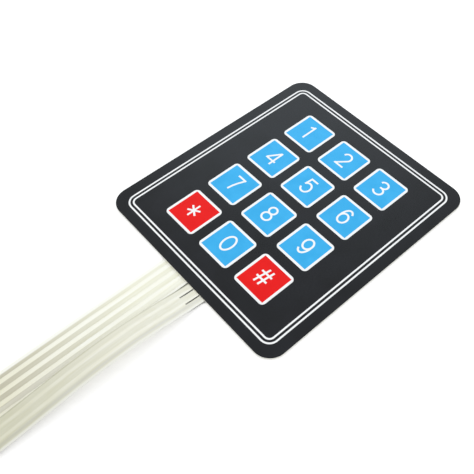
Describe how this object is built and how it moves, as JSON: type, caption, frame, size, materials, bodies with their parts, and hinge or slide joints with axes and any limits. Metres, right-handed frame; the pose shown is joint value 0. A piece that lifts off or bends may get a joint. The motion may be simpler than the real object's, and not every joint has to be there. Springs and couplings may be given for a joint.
{
  "type": "membrane keypad",
  "caption": "Flat matrix membrane keypad with printed number keys on a black film, a striped film tail and a single-row crimped socket.",
  "frame": {"origin": "centre of the pad's rear face, on the release liner", "axes": "+Z out of the key face, +Y towards the 1-2-3 row, +X towards key 3; the tail leaves along -Y"},
  "size_m": [0.0692, 0.1619, 0.0034],
  "materials": {
    "black_film": "fine matte textured polyester",
    "white_ink": "screen print under a matte face",
    "blue_ink": "screen print under a matte face",
    "red_ink": "screen print under a matte face",
    "adhesive": "translucent acrylic adhesive",
    "clear_film": "clear heat-stabilised polyester",
    "satin_film": "satin heat-stabilised polyester, with its tracks showing through",
    "silver_ink": "dull printed silver",
    "ivory_ink": "satin ultraviolet-cured insulating print",
    "spacer_film": "double-sided polyester spacer",
    "liner_paper": "smooth siliconised paper",
    "black_plastic": "moulded, satin",
    "tin_plate": "bright tin plate on bronze"
  },
  "bodies": {
    "root": {"graphic_overlay": "black_film", "key_frames": "white_ink", "border_lines": "white_ink", "blue_key_fields": "blue_ink", "red_key_fields": "red_ink", "overlay_adhesive": "adhesive", "rear_adhesive": "adhesive", "upper_circuit_film": "satin_film", "lower_circuit_film": "clear_film", "column_tracks": "silver_ink", "row_tracks": "silver_ink", "column_insulation": "ivory_ink", "row_insulation": "ivory_ink", "spacer": "spacer_film", "release_liner": "liner_paper", "connector_housing": "black_plastic", "contact_1": "tin_plate", "contact_2": "tin_plate", "contact_3": "tin_plate", "contact_4": "tin_plate", "contact_5": "tin_plate", "contact_6": "tin_plate", "contact_7": "tin_plate"}
  },
  "joints": []
}
